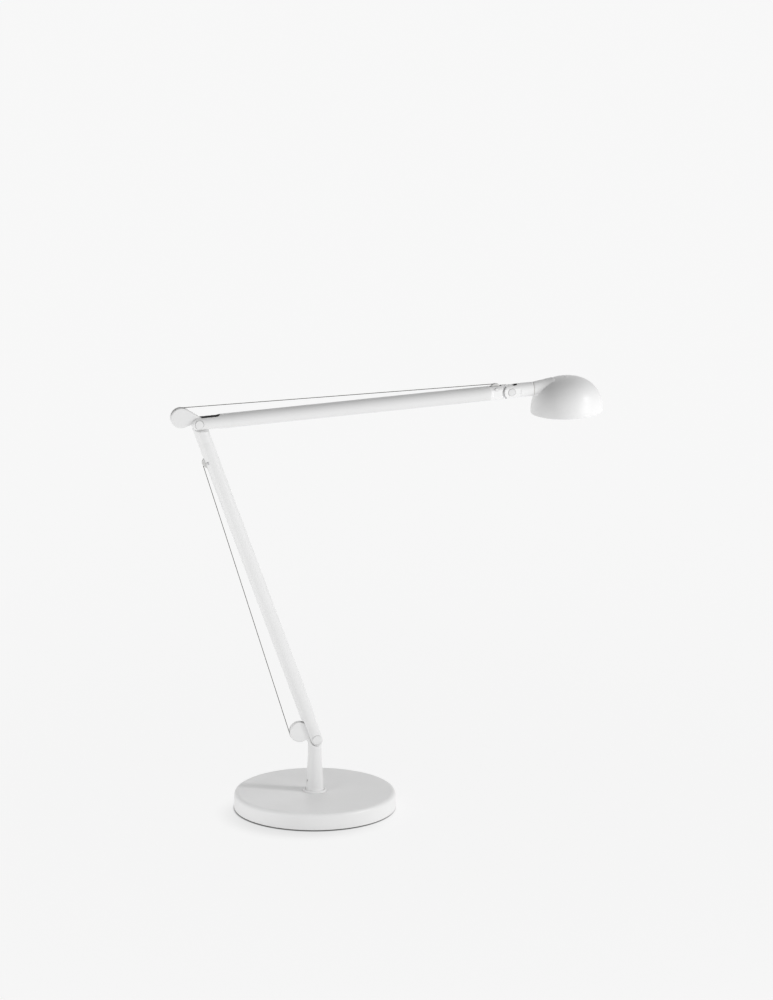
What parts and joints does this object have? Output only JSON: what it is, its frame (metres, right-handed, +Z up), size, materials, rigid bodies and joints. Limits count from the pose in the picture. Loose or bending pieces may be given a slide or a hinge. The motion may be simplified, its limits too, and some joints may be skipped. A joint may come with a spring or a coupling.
{
  "type": "swing arm desk lamp",
  "caption": "White swing arm desk lamp: round base, swivelling stem, wire-balanced lower and upper arms, tilting and swivelling dome shade.",
  "frame": {"origin": "centre of the base's foot pad, on the surface that the lamp stands on, below the stem's swivel axis", "axes": "+Z up along the stem's swivel axis, +X towards the shade, +Y towards the far side of the arms"},
  "size_m": [0.54, 0.2, 0.5336],
  "materials": {
    "white_paint": "satin white powder coat on steel and aluminium",
    "painted_pins": "satin white enamel on turned steel caps",
    "painted_castings": "satin white powder coat on aluminium castings",
    "pulley_plastic": "moulded white acetal",
    "steel": "turned, zinc plated steel",
    "steel_wire": "stranded stainless wire",
    "spring_steel": "oiled spring steel",
    "bearing_plastic": "natural nylon",
    "foot_rubber": "matt black foam rubber",
    "cast_weight": "rough black cast iron",
    "bare_aluminium": "plain machined aluminium",
    "board": "white solder mask",
    "reflector_white": "smooth white moulding",
    "diffuser_plastic": "opal acrylic",
    "ring_plastic": "satin white moulding"
  },
  "bodies": {
    "base": {"foot_pad": "foot_rubber", "base_cover": "white_paint", "base_weight": "cast_weight", "base_bush": "bearing_plastic", "base_collar": "white_paint"},
    "stem": {"stem": "white_paint", "spindle": "steel", "grub_screw": "steel", "spindle_washer": "steel", "spindle_nut": "steel"},
    "lower_arm": {"lower_fork": "white_paint", "lower_tube": "white_paint", "elbow_lever": "white_paint", "low_pivot_pin": "painted_pins", "low_pivot_pin_nut": "painted_pins", "low_pivot_washer_front": "bearing_plastic", "low_pivot_washer_rear": "bearing_plastic", "lower_axle": "steel", "lower_wire": "steel_wire", "lower_ferrule": "steel", "lower_spring": "spring_steel", "lower_spring_rod": "spring_steel"},
    "lower_pulley": {"lower_pulley": "pulley_plastic"},
    "upper_arm": {"upper_fork": "white_paint", "upper_tube": "white_paint", "nose": "painted_castings", "elbow_pin": "painted_pins", "elbow_pin_nut": "painted_pins", "elbow_washer_front": "bearing_plastic", "elbow_washer_rear": "bearing_plastic", "upper_axle": "steel", "upper_wire": "steel_wire", "upper_ferrule": "steel", "upper_spring": "spring_steel", "upper_spring_rod": "spring_steel"},
    "upper_pulley": {"upper_pulley": "pulley_plastic"},
    "head_arm": {"head_arm": "painted_castings", "head_pin": "painted_pins", "head_pin_nut": "painted_pins", "head_washer_front": "bearing_plastic", "head_washer_rear": "bearing_plastic", "swivel_bolt": "steel", "swivel_washer": "bearing_plastic"},
    "shade": {"shade": "painted_castings", "crown_screw": "steel", "heat_sink": "bare_aluminium", "led_board": "board", "reflector": "reflector_white", "diffuser": "diffuser_plastic", "diffuser_ring": "ring_plastic"}
  },
  "joints": [
    {"name": "base_swivel", "type": "hinge", "parent": "base", "child": "stem", "pos_m": [0, 0, 0.03], "axis": [0, 0, 1], "range_deg": [-170, 170]},
    {"name": "lower_arm_pivot", "type": "hinge", "parent": "stem", "child": "lower_arm", "pos_m": [0.0016, 0, 0.0892], "axis": [0, 1, 0], "range_deg": [-4, 50], "deforming": ["lower_wire"]},
    {"name": "elbow_pivot", "type": "hinge", "parent": "lower_arm", "child": "upper_arm", "pos_m": [-0.1435, 0, 0.4978], "axis": [0, 1, 0], "range_deg": [-75, 12], "deforming": ["upper_wire"]},
    {"name": "head_tilt", "type": "hinge", "parent": "upper_arm", "child": "head_arm", "pos_m": [0.24616, 0, 0.5185], "axis": [0, 1, 0], "range_deg": [-65, 65]},
    {"name": "shade_swivel", "type": "hinge", "parent": "head_arm", "child": "shade", "pos_m": [0.27452, 0, 0.52], "axis": [0.9986, 0, 0.053], "range_deg": [-90, 90]},
    {"name": "lower_pulley_spin", "type": "hinge", "parent": "lower_arm", "child": "lower_pulley", "pos_m": [-0.13254, 0, 0.44842], "axis": [0, 1, 0], "range_deg": [-290, 40]},
    {"name": "upper_pulley_spin", "type": "hinge", "parent": "upper_arm", "child": "upper_pulley", "pos_m": [0.22711, 0, 0.52259], "axis": [0, 1, 0], "range_deg": [-80, 400]}
  ],
  "couplings": [
    {"joint": "lower_pulley_spin", "follows": "lower_arm_pivot", "ratio": -5.4},
    {"joint": "upper_pulley_spin", "follows": "elbow_pivot", "ratio": -5}
  ]
}
